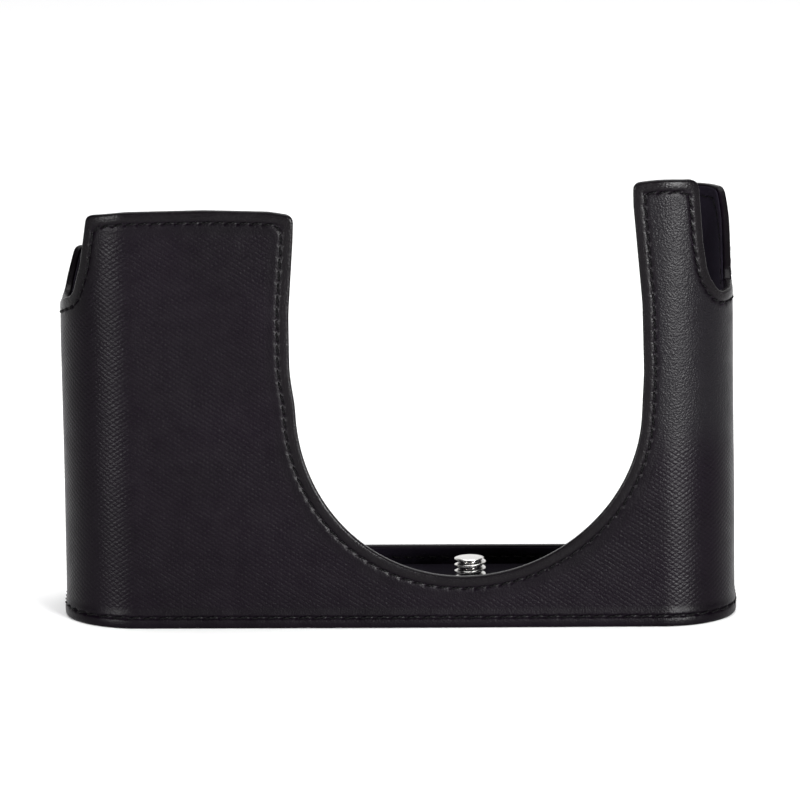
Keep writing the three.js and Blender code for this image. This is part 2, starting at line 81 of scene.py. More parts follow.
STRAIGHT = HALF_LENGTH - END_RADIUS
QUARTER = END_RADIUS * math.pi / 2
END_FLAT = HALF_DEPTH - END_RADIUS
SEAM = STRAIGHT + QUARTER + END_FLAT
HALF_ROUND = 2 * SEAM
ROUND = 2 * HALF_ROUND

# The soft walls lean a little to the left above the stiff base.
LEAN = 0.0105
LEAN_START = 5
LEAN_BLEND = 3

# Layers of the wall.
LEATHER = 0.9
TURNED = 1.45
LINING_IN = 1.5
LINING_OUT = 1.95
SEAM_GAP = 0.03
LINING_INSET = 0.35

# How far the leather of the long sides bows outwards at its middle, and how uneven it is.
BOW = 0.25
UNEVEN = 0.06
UNEVEN_FULL_Z = 30

# How far the leather stands out where it is stitched to the base.
FLARE = 0.34
FLARE_LOW, FLARE_HIGH = 1.4, 4.6

WALL_TOP = 92

# Lens cutout and rear opening.
CUTOUT_X = 14.1
CUTOUT_Z = 45
CUTOUT_RADIUS = 34.55
CUTOUT_SKEW = 1.5
REAR_OPENING = 51
REAR_STRIP_TOP = 7.8
REAR_CORNER = 14

# Radii of the holes round the screw.
FLOOR_HOLE = 6.3
BASE_HOLE = 12.3

STITCH_INSET = 2.35
STITCH_COVER = 0.43
PUCKER = 0.36
CORNER_STEP = 0.08
SCREW = (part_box("tripod_screw")[0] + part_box("tripod_screw")[1]) / 2 / MM

# Distances of the mesh rows from a panel's upper edge, its foot and its seams.
OUTER_ROWS = (
    (0.03, 0.1, 0.22, 0.42, 0.725, 1.1, 1.5, 1.85, 2.05, 2.2, 2.35, 2.5, 2.65, 2.9, 3.3),
    (0.05, 0.15, 0.35, 0.7, 1.2, 1.6, 1.85, 2.05, 2.25, 2.45, 2.65, 2.85, 3.05, 3.25, 3.6),
    (0.05, 0.15, 0.35),
)
INNER_ROWS = ((0.03, 0.1, 0.22, 0.42, 0.725, 3.4, 3.75), (0.1, 0.3, 3.6), (0.1, 0.3))
SUEDE_ROWS = (
    (0.04, 0.12, 0.28, 0.6, 1.0, 1.4, 1.7, 1.85, 2.0, 2.15, 2.3, 2.6, 3.1, 3.8),
    (0.3, 1),
    (0.08, 0.25),
)
HIDDEN_ROWS = ((0.2,), (0.3,), (0.2,))
COARSE_GRID = (1.6, 4)
SUEDE_GRID = (0.9, 1.1)


# ---- curves and bending

def smooth(low, high, value):
    """0 below low, 1 above high, and an even rise between them."""
    t = np.clip((value - low) / (high - low), 0, 1)
    return t * t * (3 - 2 * t)


def round_over(distance, width, depth):
    """How deep a rounded edge falls at a distance from the edge."""
    t = np.clip(1 - distance / width, 0, 1)
    return depth * (1 - np.sqrt(1 - t * t))


def footprint(s):
    """Place on the outer footprint, and the inward direction there."""
    around = (s + HALF_ROUND) % ROUND - HALF_ROUND
    side = np.where(around < 0, -1.0, 1.0)
    a = np.abs(around)
    front = np.where(a <= SEAM, 1.0, -1.0)
    run = np.where(a <= SEAM, a, HALF_ROUND - a)
    turn = np.clip((run - STRAIGHT) / END_RADIUS, 0, math.pi / 2)
    past = np.maximum(run - STRAIGHT - QUARTER, 0)
    x = side * (np.minimum(run, STRAIGHT) + END_RADIUS * np.sin(turn))
    y = -front * (END_FLAT + END_RADIUS * np.cos(turn) - past)
    return x, y, -side * np.sin(turn), front * np.cos(turn)


def wall(s, z, n):
    """Points of the bent wall, in metres. The leather outside the boards swells a little."""
    x, y, nx, ny = footprint(s)
    ripple = np.sin(0.11 * s + 0.6) * np.sin(0.09 * z + 0.02 * s)
    ripple = ripple + 0.6 * np.sin(0.23 * s + 0.13 * z)
    swell = BOW * (1 - smooth(0, STRAIGHT, np.abs(x)))
    swell = swell + UNEVEN * (1.6 + ripple) * smooth(LEAN_START, UNEVEN_FULL_Z, z)
    n = n - swell * (1 - smooth(LEATHER, LINING_IN, n))
    rise = z - LEAN_START
    lean = LEAN * 0.5 * (rise + np.sqrt(rise * rise + LEAN_BLEND ** 2))
    return np.column_stack([x + nx * n - lean, y + ny * n, z]) * MM


def rounded(corners):
    """A polyline through (s, z, radius) corners, each corner rounded by its radius."""
    line = []
    for i, (s, z, radius) in enumerate(corners):
        corner = np.array([s, z], float)
        if not radius:
            line.append(corner)
            continue
        before = np.array(corners[i - 1][:2]) - corner
        after = np.array(corners[i + 1][:2]) - corner
        reach_before, reach_after = np.linalg.norm(before), np.linalg.norm(after)
        cosine = before @ after / (reach_before * reach_after)
        half = math.acos(np.clip(cosine, -1, 1)) / 2
        reach = min(radius / math.tan(half), reach_before / 2, reach_after / 2)
        start = corner + before / reach_before * reach
        end = corner + after / reach_after * reach
        steps = max(3, math.ceil((math.pi - 2 * half) / CORNER_STEP))
        for t in np.linspace(0, 1, steps + 1):
            line.append((1 - t) ** 2 * start + 2 * t * (1 - t) * corner + t * t * end)
    return line


def cutout_arc():
    """The round bottom of the lens cutout, pulled a little to the left."""
    turn = np.linspace(-math.pi / 2, math.pi / 2, 90)[1:-1]
    drop = np.cos(turn)
    s = CUTOUT_X + CUTOUT_RADIUS * np.sin(turn) - CUTOUT_SKEW * drop * drop
    return list(np.column_stack([s, CUTOUT_Z - CUTOUT_RADIUS * drop]))


def front_edge():
    """Upper edge of the front panel: lug notch, grip tower, lens cutout, pillar, lug notch."""
    tower = rounded([
        (-SEAM, 63.5, 0), (-75, 64.3, 20), (-66.9, 66.9, 4), (-64.2, 73.6, 10),
        (-62.3, 83.7, 1.9), (-54, 84.8, 24), (-38, 85.15, 60), (-25, 84.8, 14),
        (-20.2, 84, 2), (-20.4, 79, 16), (-21.5, 64, 40), (-21.5, 52, 30), (-20.6, 46, 0),
    ])
    pillar = rounded([
        (48.75, 46, 0), (49.1, 52, 30), (48.9, 66, 40), (47.3, 86, 20), (47.3, 90.3, 1.8),
        (53, 91, 30), (60.9, 90.6, 2.4), (61.9, 78, 20), (63.1, 71.2, 8), (66.6, 66.9, 5),
        (SEAM, 66.8, 0),
    ])
    return tower + cutout_arc() + pillar


def back_edge():
    """Upper edge of the back panel: right post, low strip below the screen, left post."""
    right, left = HALF_ROUND - REAR_OPENING, HALF_ROUND + REAR_OPENING
    return rounded([
        (SEAM, 66.8, 0), (83.6, 68.4, 4), (88.5, 78, 10), (92.3, 83.6, 3), (97, 83.5, 20),
        (right, 82.6, 4), (right, REAR_STRIP_TOP, REAR_CORNER),
        (left, REAR_STRIP_TOP, REAR_CORNER), (left, 71.2, 4), (230.2, 71.5, 2.2),
        (232.7, 67.6, 5), (236, 63.2, 4), (ROUND - SEAM, 63.5, 0),
    ])


def panel_edges():
    return ("front", front_edge()), ("back", back_edge())


def arc_lengths(line):
    return np.concatenate([[0], np.cumsum(np.linalg.norm(np.diff(line, axis=0), axis=1))])


def resampled(line, step):
    """The same line with points at an even spacing close to the step."""
    line = np.asarray(line, float)
    lengths = arc_lengths(line)
    count = max(2, round(lengths[-1] / step) + 1)
    at = np.linspace(0, lengths[-1], count)
    return np.column_stack([np.interp(at, lengths, line[:, k]) for k in (0, 1)])


def tree_of(points):
    tree = KDTree(len(points))
    for i, (a, b) in enumerate(points):
        tree.insert((a, b, 0), i)
    tree.balance()
    return tree


def distance_to(points, line):
    """Distance from each point to a finely sampled line."""
    tree = tree_of(line)
    nearest = np.array([tree.find((a, b, 0))[1] for a, b in points])
    best = np.full(len(points), np.inf)
    for shift in (-1, 0):
        k = np.clip(nearest + shift, 0, len(line) - 2)
        start, along = line[k], line[k + 1] - line[k]
        t = ((points - start) * along).sum(1) / (along * along).sum(1)
        gap = points - start - np.clip(t, 0, 1)[:, None] * along
        best = np.minimum(best, np.hypot(gap[:, 0], gap[:, 1]))
    return best


def inset(line, distance):
    """The line at a distance inside an upper edge."""
    if distance == 0:
        return line
    tangent = np.gradient(line, axis=0)
    tangent /= np.linalg.norm(tangent, axis=1)[:, None]
    moved = line + distance * np.column_stack([tangent[:, 1], -tangent[:, 0]])
    moved = moved[distance_to(moved, line) > 0.99 * distance]
    return moved[(moved[:, 0] > line[0][0]) & (moved[:, 0] < line[-1][0])]


# ---- stitch places

def stitches_between(holes):
    """Middle and run of the stitch between each two holes, and the holes."""
    return (holes[1:] + holes[:-1]) / 2, holes[1:] - holes[:-1], holes


def edge_stitches(line, sizes):
    row = resampled(inset(resampled(line, 0.3), STITCH_INSET), 0.2)
    return stitches_between(resampled(row, sizes.edge_pitch / MM))


def foot_stitches(sizes):
    count = round(ROUND / (sizes.foot_pitch / MM))
    s = (np.arange(count + 1) - count / 4 + 0.5) * ROUND / count
    return stitches_between(np.column_stack([s, np.full(len(s), FOOT_STITCH_Z)]))


def foot_flare(z):
    """How far the leather stands out where it is stitched to the base."""
    return FLARE * (1 - smooth(FLARE_LOW, FLARE_HIGH, z))


# ---- meshes

def finish_mesh(piece_name, points, faces, pattern=None, marks=None):
    """A smooth mesh object. pattern gives each point's [s, z] and marks its other values."""
    mesh = bpy.data.meshes.new(piece_name)
    mesh.from_pydata(np.asarray(points).tolist(), [], [list(map(int, f)) for f in faces])
    mesh.validate()
    mesh.shade_smooth()
    if pattern is not None:
        corners = np.zeros(len(mesh.loops), np.int32)
        mesh.loops.foreach_get("vertex_index", corners)
        layer = mesh.uv_layers.new(name="pattern")
        layer.data.foreach_set("uv", np.asarray(pattern, np.float32)[corners].ravel())
    for name, values in (marks or {}).items():
        attribute = mesh.attributes.new(name, "FLOAT", "POINT")
        attribute.data.foreach_set("value", np.asarray(values, np.float32))
    piece = bpy.data.objects.new(piece_name, mesh)
    bpy.context.scene.collection.objects.link(piece)
    return piece


def place(piece, slot, replaced, body="case"):
    """Gives a piece its finish, hides the frame node that it stands in for, and lets it ride on a
    body.
    """
    piece.data.materials.clear()
    piece.data.materials.append(finish(slot))
    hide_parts(replaced)
    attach(piece, body)


def spread(points, wanted, gap):
    """Adds the wanted points that keep a gap to all the points before them."""
    cells = {}
    for a, b in points:
        cells.setdefault((int(a // gap), int(b // gap)), []).append((a, b))
    kept = []
    for a, b in wanted:
        i, j = int(a // gap), int(b // gap)
        around = ((u, v) for u in (i - 1, i, i + 1) for v in (j - 1, j, j + 1))
        near = (p for cell in around for p in cells.get(cell, ()))
        if all((a - p[0]) ** 2 + (b - p[1]) ** 2 >= gap * gap for p in near):
            cells.setdefault((i, j), []).append((a, b))
            kept.append((a, b))
    return np.concatenate([points, np.array(kept).reshape(-1, 2)])


def panel_ring(edge, bottom, step):
    """The closed outline of a panel, along the foot to the right and back along the edge."""
    (s0, z0), (s1, z1) = edge[0], edge[-1]
    foot = np.linspace(s0, s1, round((s1 - s0) / step) + 1)
    right = np.linspace(bottom, z1, round((z1 - bottom) / step) + 1)[1:-1]
    left = np.linspace(z0, bottom, round((z0 - bottom) / step) + 1)[1:-1]
    return np.concatenate([
        np.column_stack([foot, np.full(len(foot), bottom)]),
        np.column_stack([np.full(len(right), s1), right]),
        edge[::-1],
        np.column_stack([np.full(len(left), s0), left]),
    ])


def panel_points(ring, edge, bottom, rows, grid):
    """The outline's points, then rows inside each border, then an even grid."""
    edge_rows, foot_rows, seam_rows = rows
    s0, s1 = edge[0][0], edge[-1][0]
    points = ring
    for distance in edge_rows:
        points = spread(points, inset(edge, distance), 0.02)
    for rise in foot_rows:
        row = np.arange(s0 + 0.3, s1 - 0.2, grid[0])
        points = spread(points, np.column_stack([row, np.full(len(row), bottom + rise)]), 0.05)
    top = max(edge[0][1], edge[-1][1])
    for distance in seam_rows:
        column = np.arange(bottom + 0.3, top, 0.4)
        for s in (s0 + distance, s1 - distance):
            points = spread(points, np.column_stack([np.full(len(column), s), column]), 0.08)
    column, row = np.meshgrid(
        np.arange(math.ceil((s0 + 0.5) / grid[0]), (s1 - 0.4) / grid[0]),
        np.arange(math.ceil((bottom + foot_rows[-1] + 0.1) / grid[1]), WALL_TOP / grid[1]),
    )
    s = (column + (row % 2) / 2) * grid[0]
    field = np.column_stack([s.ravel(), row.ravel() * grid[1]])
    field = field[(field[:, 0] > s0 + 0.3) & (field[:, 0] < s1 - 0.3)]
    field = field[inside(field, ring)]
    field = field[distance_to(field, edge) > edge_rows[-1] + 0.12]
    return spread(points, field, 0.12)


def inside(points, ring):
    """Which points lie inside a closed outline."""
    result = np.zeros(len(points), bool)
    for (ax, ay), (bx, by) in zip(ring, np.roll(ring, -1, axis=0)):
        if ay == by:
            continue
        rows = (points[:, 1] > ay) != (points[:, 1] > by)
        x = ax + (points[rows, 1] - ay) * (bx - ax) / (by - ay)
        result[np.flatnonzero(rows)[points[rows, 0] < x]] ^= True
    return result


def triangles_of(points, ring_length):
    """Triangles that fill the outline, turned to face the outside of the wall."""
    ring = list(range(ring_length))
    found = delaunay_2d_cdt([Vector(p) for p in points], [], [ring], 1, 1e-7)
    if len(found[0]) != len(points):
        raise RuntimeError("two points of a panel coincide")
    origin = np.array([o[0] for o in found[3]])
    faces = origin[np.array(found[2])]
    a, b, c = (points[faces[:, k]] for k in range(3))
    area = (b[:, 0] - a[:, 0]) * (c[:, 1] - a[:, 1]) - (c[:, 0] - a[:, 0]) * (b[:, 1] - a[:, 1])
    faces[area < 0] = faces[area < 0][:, ::-1]
    return faces[np.abs(area) > 1e-7]


def bent_layer(name, ring, sides):
    """A closed layer of the wall. sides are the outer and the inner face, each as its points
    (the ring's first), their depths and their values for the material. A flat strip with
    softened corners joins the two rings."""
    (out_points, out_depth, out_marks), (in_points, in_depth, in_marks) = sides
    count = len(ring)
    gap = in_depth[:count] - out_depth[:count]
    soft = np.minimum(0.12, 0.25 * gap)
    between = [out_depth[:count] + soft, in_depth[:count] - soft]
    starts = [0, len(out_points), len(out_points) + count, len(out_points) + 2 * count]
    faces = [triangles_of(out_points, count), triangles_of(in_points, count)[:, ::-1] + starts[3]]
    here = np.arange(count)
    after = (here + 1) % count
    for low, high in zip(starts, starts[1:]):
        faces.append(np.column_stack([here + low, here + high, after + low]))
        faces.append(np.column_stack([after + low, here + high, after + high]))
    pattern = np.concatenate([out_points, ring, ring, in_points])
    depth = np.concatenate([out_depth, *between, in_depth])
    marks = {}
    for key, values in out_marks.items():
        marks[key] = np.concatenate([values, values[:count], values[:count], in_marks[key]])
    points = wall(pattern[:, 0], pattern[:, 1], depth)
    return finish_mesh(name, points, np.concatenate(faces), pattern, marks)


def hole_distance(points, holes):
    tree = tree_of(holes)
    return np.array([tree.find((a, b, 0))[2] for a, b in points])


def hollow(distance, width):
    """A soft dent, 1 deep at its middle."""
    return np.exp(-(distance / width) ** 2)


def border_distances(points, edge):
    """Distance from each point to the panel's upper edge, and to its nearer seam."""
    from_seam = np.minimum(points[:, 0] - edge[0][0], edge[-1][0] - points[:, 0])
    return distance_to(points, edge), from_seam


def wall_leather(name, edge, holes, foot_holes, sizes):
    """A leather panel with its turned rim, stitch grooves, flared foot and pressed weave."""
    edge = resampled(edge, 0.36)
    edge[0][0] += SEAM_GAP
    edge[-1][0] -= SEAM_GAP
    ring = panel_ring(edge, 0, 0.4)
    weave_s, weave_z = sizes.weave_length / MM, sizes.weave_height / MM
    grid = (weave_s / 4, weave_z / 4)
    points = panel_points(ring, edge, 0, OUTER_ROWS, grid)
    s, z = points.T
    from_edge, from_seam = border_distances(points, edge)
    depth = np.maximum(round_over(from_edge, 0.5, 0.4), round_over(from_seam, 0.35, 0.4))
    depth = np.maximum(depth, round_over(z, 0.7, 0.5))
    depth -= 0.05 * smooth(0.5, 1.2, from_edge) * (1 - smooth(1.7, 2.3, from_edge))
    groove = 0.55 * hollow(distance_to(points, resampled(holes, 0.3)), 0.38)
    groove = groove + hollow(hole_distance(points, holes), PUCKER)
    low = hollow(z - FOOT_STITCH_Z, 0.3) + hollow(hole_distance(points, foot_holes), PUCKER)
    depth += sizes.groove_depth / MM * (groove + low)
    depth -= foot_flare(z)
    # The weave mask sets the real pressed relief here; in the finish it also paints the lens shapes
    # lighter as a painted highlight.
    weave = smooth(3.9, 5.4, from_edge) * smooth(3.6, 4.8, z)
    plain_pillar = smooth(42, 46, s) * (1 - smooth(70, 76, s)) * smooth(32, 44, z)
    weave = weave * (1 - plain_pillar)
    plain_pillar = plain_pillar * smooth(2.6, 3.6, from_edge)
    lens = np.abs(np.cos(2 * math.pi * s / weave_s) + np.cos(2 * math.pi * z / weave_z)) / 2
    depth -= sizes.weave_relief / MM * weave * lens
    # The pillar's mark places its real pebble grain and also paints the pillar lighter in the
    # finish, a painted sheen.
    marks = {"weave": weave, "pebbles_and_painted_sheen": plain_pillar, "rim": 1 - smooth(1.6, 2.3, from_edge)}

    back = panel_points(ring, edge, 0, INNER_ROWS, COARSE_GRID)
    from_edge, from_seam = border_distances(back, edge)
    turned = (1 - smooth(3.45, 3.7, from_edge)) * smooth(5.3, 5.5, back[:, 1])
    lifted = np.maximum(round_over(from_edge, 0.45, 0.35), round_over(from_seam, 0.2, 0.15))
    lifted = np.maximum(lifted, round_over(back[:, 1], 0.25, 0.15))
    depth_back = LEATHER + (TURNED - LEATHER) * turned - lifted
    marks_back = {key: np.zeros(len(back)) for key in marks}
    return bent_layer(name, ring, [(points, depth, marks), (back, depth_back, marks_back)])


def wall_lining(name, edge, holes, bottom):
    """A suede layer inside a leather panel, a little short of its edge."""
    edge = resampled(inset(resampled(edge, 0.3), LINING_INSET), 0.5)
    ring = panel_ring(edge, bottom, 0.6)
    hidden = panel_points(ring, edge, bottom, HIDDEN_ROWS, COARSE_GRID)
    closed = np.concatenate([ring, ring[:1]])
    hidden_depth = LINING_IN + 0.2 * (distance_to(hidden, closed) < 0.01)
    shown = panel_points(ring, edge, bottom, SUEDE_ROWS, SUEDE_GRID)
    from_edge, from_seam = border_distances(shown, edge)
    lifted = np.maximum(round_over(from_edge, 0.3, 0.25), round_over(from_seam, 0.25, 0.25))
    groove = 0.14 * hollow(distance_to(shown, resampled(holes, 0.3)), 0.35)
    groove = groove + 0.14 * hollow(hole_distance(shown, holes), 0.35)
    s, z = shown.T
    fullness = 0.05 * np.sin(0.35 * s + 0.2 * z) * np.sin(0.27 * z - 0.11 * s)
    fullness = fullness * smooth(2.5, 8, from_edge)
    shown_depth = LINING_OUT - lifted - groove + fullness
    marks = {"rim": 1 - smooth(0.2, 0.9, from_edge)}
    hidden_marks = {"rim": np.zeros(len(hidden))}
    sides = [(hidden, hidden_depth, hidden_marks), (shown, shown_depth, marks)]
    return bent_layer(name, ring, sides)


def thread_tubes(middle, along, surface, outward, sizes):
    """One closed tube for each stitch, slanted and diving into its holes at both ends."""
    rings, sides = 9, 8
    t = np.linspace(-1, 1, rings)
    turn = np.arange(sides) * 2 * math.pi / sides
    radius = sizes.thread_diameter / MM / 2
    length = np.linalg.norm(along, axis=1)
    direction = along / length[:, None]
    across = np.column_stack([-direction[:, 1], direction[:, 0]])
    slant = math.sin(sizes.stitch_slant)
    centre = middle[:, None] + (STITCH_COVER * length)[:, None, None] * t[None, :, None] * (
        direction[:, None] + slant * across[:, None])
    lift = -0.04 - 0.34 * np.abs(t) ** 3.2
    thick = radius * np.sqrt(1 - (0.93 * np.abs(t)) ** 5)
    place_s = centre[..., 0, None] + across[:, None, None, 0] * thick[:, None] * np.cos(turn)
    place_z = centre[..., 1, None] + across[:, None, None, 1] * thick[:, None] * np.cos(turn)
    place_n = surface + outward * (lift[:, None] + thick[:, None] * np.sin(turn))
    place_n = np.broadcast_to(place_n, place_s.shape)
    points = wall(place_s.ravel(), place_z.ravel(), place_n.ravel())
    faces = []
    for k in range(len(middle)):
        first = k * rings * sides
        faces += quads(first, rings, sides)
        faces.append(tuple(first + c for c in reversed(range(sides))))
        faces.append(tuple(first + (rings - 1) * sides + c for c in range(sides)))
    flat = np.stack(np.broadcast_arrays(
        t[None, :, None] + 2 * np.arange(len(middle))[:, None, None], turn[None, None, :]), -1)
    return points, faces, flat.reshape(-1, 2)


def join_tubes(name, groups):
    points = np.concatenate([g[0] for g in groups])
    pattern = np.concatenate([g[2] for g in groups])
    faces = []
    start = 0
    for g in groups:
        faces += [tuple(i + start for i in f) for f in g[1]]
        start += len(g[0])
    return turn_outwards(finish_mesh(name, points, faces, pattern))


def quads(first, rows, around, closed=False):
    """Faces between rows of points that each go once round."""
    faces = []
    for k in range(rows if closed else rows - 1):
        low, high = first + k * around, first + (k + 1) % rows * around
        for i in range(around):
            j = (i + 1) % around
            faces.append((low + i, low + j, high + j, high + i))
    return faces


def turn_outwards(piece):
    shape = bmesh.new()
    shape.from_mesh(piece.data)
    bmesh.ops.recalc_face_normals(shape, faces=shape.faces)
    shape.to_mesh(piece.data)
    shape.free()
    return piece


def base_plate(name, rim, hole, steps=300, around=96):
    """A plate of the footprint's shape with a round hole for the screw. rim is its border's
    profile of (n, z) points and hole the hole's profile of (radius, z), top to bottom."""
    s = np.arange(steps) * ROUND / steps
    x, y, nx, ny = footprint(s)
    rows = [np.column_stack([x + nx * n, y + ny * n, np.full(steps, z)]) for n, z in rim]
    turn = np.arange(around) * 2 * math.pi / around
    for radius, z in hole:
        rows.append(np.column_stack([
            SCREW.x + radius * np.cos(turn), radius * np.sin(turn), np.full(around, z)]))
    points = np.concatenate(rows)
    starts = np.cumsum([0] + [len(r) for r in rows])
    faces = []
    for k in range(len(rows) - 1):
        if k == len(rim) - 1:
            continue
        size = len(rows[k])
        a, b = starts[k] + np.arange(size), starts[k] + (np.arange(size) + 1) % size
        faces += list(zip(a, b, b + size, a + size))
    for outer, inner in ((0, len(rim)), (len(rim) - 1, len(rows) - 1)):
        loop = np.concatenate([starts[outer] + np.arange(steps), starts[inner] + np.arange(around)])
        flat = [Vector(p) for p in points[loop][:, :2]]
        ring = [(i, (i + 1) % steps) for i in range(steps)]
        ring += [(steps + i, steps + (i + 1) % around) for i in range(around)]
        found = delaunay_2d_cdt(flat, ring, [], 0, 1e-7)
        origin = np.array([o[0] for o in found[3]])
        for f in found[2]:
            corners = origin[list(f)]
            if (corners >= steps).all():
                continue
            faces.append(tuple(loop[corners]))
    return turn_outwards(finish_mesh(name, points * MM, faces))


def turned_ring(name, profile, around=128):
    """A closed ring turned round the screw's axis from a closed (radius, z) profile."""
    turn = np.arange(around) * 2 * math.pi / around
    rows = [np.column_stack([SCREW.x + r * np.cos(turn), r * np.sin(turn), np.full(around, z)])
            for r, z in profile]
    faces = quads(0, len(rows), around, closed=True)
    return turn_outwards(finish_mesh(name, np.concatenate(rows) * MM, faces))


def screw_body():
    """Head, neck and threaded shank of the camera screw as one turned surface."""
    low, high = (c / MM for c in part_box("tripod_screw"))
    head_radius, bottom, top = (high.x - low.x) / 2, low.z, high.z
    pitch, major, minor, neck, start, head_top = 1.27, 3.175, 2.46, 2.3, 4.1, 1.75
    tip, first_turn = 2.98, 0.48
    around = 96
    rows = [(bottom, r) for r in (0, 3, 6, head_radius - 0.45)]
    rows += [(bottom + 0.4 * (1 - math.cos(a)), head_radius - 0.45 + 0.45 * math.sin(a))
             for a in (0.4, 0.8, 1.2, math.pi / 2)]
    rows += [(head_top - 0.15, head_radius), (head_top, head_radius - 0.15), (head_top, neck + 0.3),
             (head_top + 0.1, neck + 0.08), (head_top + 0.3, neck), (start, neck)]
    shank = np.linspace(start, top, round((top - start) / pitch * 20) + 1)[1:]
    turn = np.arange(around) / around
    rings = [(np.full(around, z), np.full(around, r)) for z, r in rows]
    for z in shank:
        phase = np.abs((z / pitch - turn - first_turn) % 1 - 0.5)
        crest = 1 - smooth(0.07, 0.4, phase)
        radius = minor + (major - minor) * (0.35 * crest + 0.65 * np.clip(1.25 - 3.1 * phase, 0, 1))
        limit = min(neck + (z - start), tip + 0.8 * (top - z))
        rings.append((np.full(around, z), np.minimum(radius, limit)))
    rings += [(np.full(around, top), np.full(around, r)) for r in (2.2, 1.2)]
    points = [(0, 0, bottom)]
    for z, r in rings[1:]:
        points += list(zip(r * np.cos(2 * math.pi * turn), r * np.sin(2 * math.pi * turn), z))
    points.append((0, 0, top))
    faces = [(0, 1 + (i + 1) % around, 1 + i) for i in range(around)]
    faces += quads(1, len(rings) - 1, around)
    last = len(points) - 1
    edge = last - around
    faces += [(edge + i, edge + (i + 1) % around, last) for i in range(around)]
    points = (np.array(points) + [SCREW.x, 0, 0]) * MM
    return turn_outwards(finish_mesh("camera_screw", points, faces))


def object_of(shape, name):
    """A new object with the shape as its mesh."""
    mesh = bpy.data.meshes.new(name)
    shape.to_mesh(mesh)
    shape.free()
    piece = bpy.data.objects.new(name, mesh)
    bpy.context.scene.collection.objects.link(piece)
    return piece


def cut(piece, cutter):
    """Takes the cutter's shape out of a piece."""
    modifier = piece.modifiers.new("cut", "BOOLEAN")
    modifier.operation = "DIFFERENCE"
    modifier.solver = "EXACT"
    modifier.object = cutter
    apply_modifiers(piece)
    bpy.data.objects.remove(cutter)


def apply_modifiers(piece):
    view = bpy.context.evaluated_depsgraph_get()
    mesh = bpy.data.meshes.new_from_object(piece.evaluated_get(view))
    piece.modifiers.clear()
    piece.data = mesh


# ---- materials

class Surface:
    """A material under construction: its Principled shader and short ways to add nodes."""

    def __init__(self, name, colour, roughness, **constants):
        self.material = bpy.data.materials.new(name)
        self.material.use_nodes = True
        self.tree = self.material.node_tree
        self.shader = self.tree.nodes["Principled BSDF"]
        self.shader.inputs["Base Color"].default_value = (*colour, 1)
        self.shader.inputs["Roughness"].default_value = roughness
        for socket, value in constants.items():
            self.shader.inputs[socket.replace("_", " ")].default_value = value
        self.material.diffuse_color = (*colour, 1)

    def node(self, kind, settings=None, **inputs):
        node = self.tree.nodes.new(kind)
        for key, value in (settings or {}).items():
            setattr(node, key, value)
        for key, value in inputs.items():
            socket = node.inputs[int(key[1:]) if key[1:].isdigit() else key.replace("_", " ")]
            if isinstance(value, bpy.types.NodeSocket):
                self.tree.links.new(value, socket)
            else:
                socket.default_value = value
        return node

    def maths(self, operation, a, b=0.0):
        return self.node("ShaderNodeMath", {"operation": operation}, i0=a, i1=b).outputs[0]

    def mark(self, name):
        return self.node("ShaderNodeAttribute", {"attribute_name": name}).outputs["Fac"]

    def place(self):
        return self.node("ShaderNodeTexCoord").outputs["Object"]

    def pattern(self):
        where = self.node("ShaderNodeUVMap", {"uv_map": "pattern"}).outputs["UV"]
        return self.node("ShaderNodeSeparateXYZ", Vector=where)

    def noise(self, scale, detail=3.0, where=None, roughness=0.5):
        node = self.node("ShaderNodeTexNoise", Scale=scale, Detail=detail, Roughness=roughness,
                         Vector=where or self.place())
        return node.outputs["Fac"]

    def cells(self, scale, feature="F1"):
        node = self.node("ShaderNodeTexVoronoi", {"feature": feature}, Scale=scale,
                         Vector=self.place())
        return node.outputs["Distance"]

    def span(self, value, low, high, to_low=0.0, to_high=1.0):
        node = self.node("ShaderNodeMapRange", {"clamp": True}, Value=value)
        for key, number in zip(("From Min", "From Max", "To Min", "To Max"),
                               (low, high, to_low, to_high)):
            node.inputs[key].default_value = number
        return node.outputs["Result"]

    def blend(self, factor, a, b):
        node = self.node("ShaderNodeMix", {"data_type": "RGBA"})
        self.tree.links.new(factor, node.inputs[0])
        for index, value in ((6, a), (7, b)):
            if isinstance(value, bpy.types.NodeSocket):
                self.tree.links.new(value, node.inputs[index])
            else:
                node.inputs[index].default_value = (*value, 1)
        return node.outputs[2]

    def bump(self, height, distance, strength=1.0, before=None):
        node = self.node("ShaderNodeBump", Height=height, Distance=distance, Strength=strength)
        if before is not None:
            self.tree.links.new(before, node.inputs["Normal"])
        return node.outputs["Normal"]

    def connect(self, **sockets):
        for key, value in sockets.items():
            self.tree.links.new(value, self.shader.inputs[key.replace("_", " ")])
        return self.material


def shade(colour, factor):
    return tuple(c * factor for c in colour)


def pressed_weave(skin):
    """Height of the pressed weave: lens shapes with narrow grooves between them."""
    sizes = bpy.context.scene.case_walls
    split = skin.pattern()
    waves = []
    for axis, pitch in (("X", sizes.weave_length / MM), ("Y", sizes.weave_height / MM)):
        turned = skin.maths("MULTIPLY", split.outputs[axis], 2 * math.pi / pitch)
        waves.append(skin.maths("COSINE", turned))
    height = skin.maths("ABSOLUTE", skin.maths("ADD", *waves))
    return skin.maths("POWER", skin.maths("MULTIPLY", height, 0.5), 0.7)


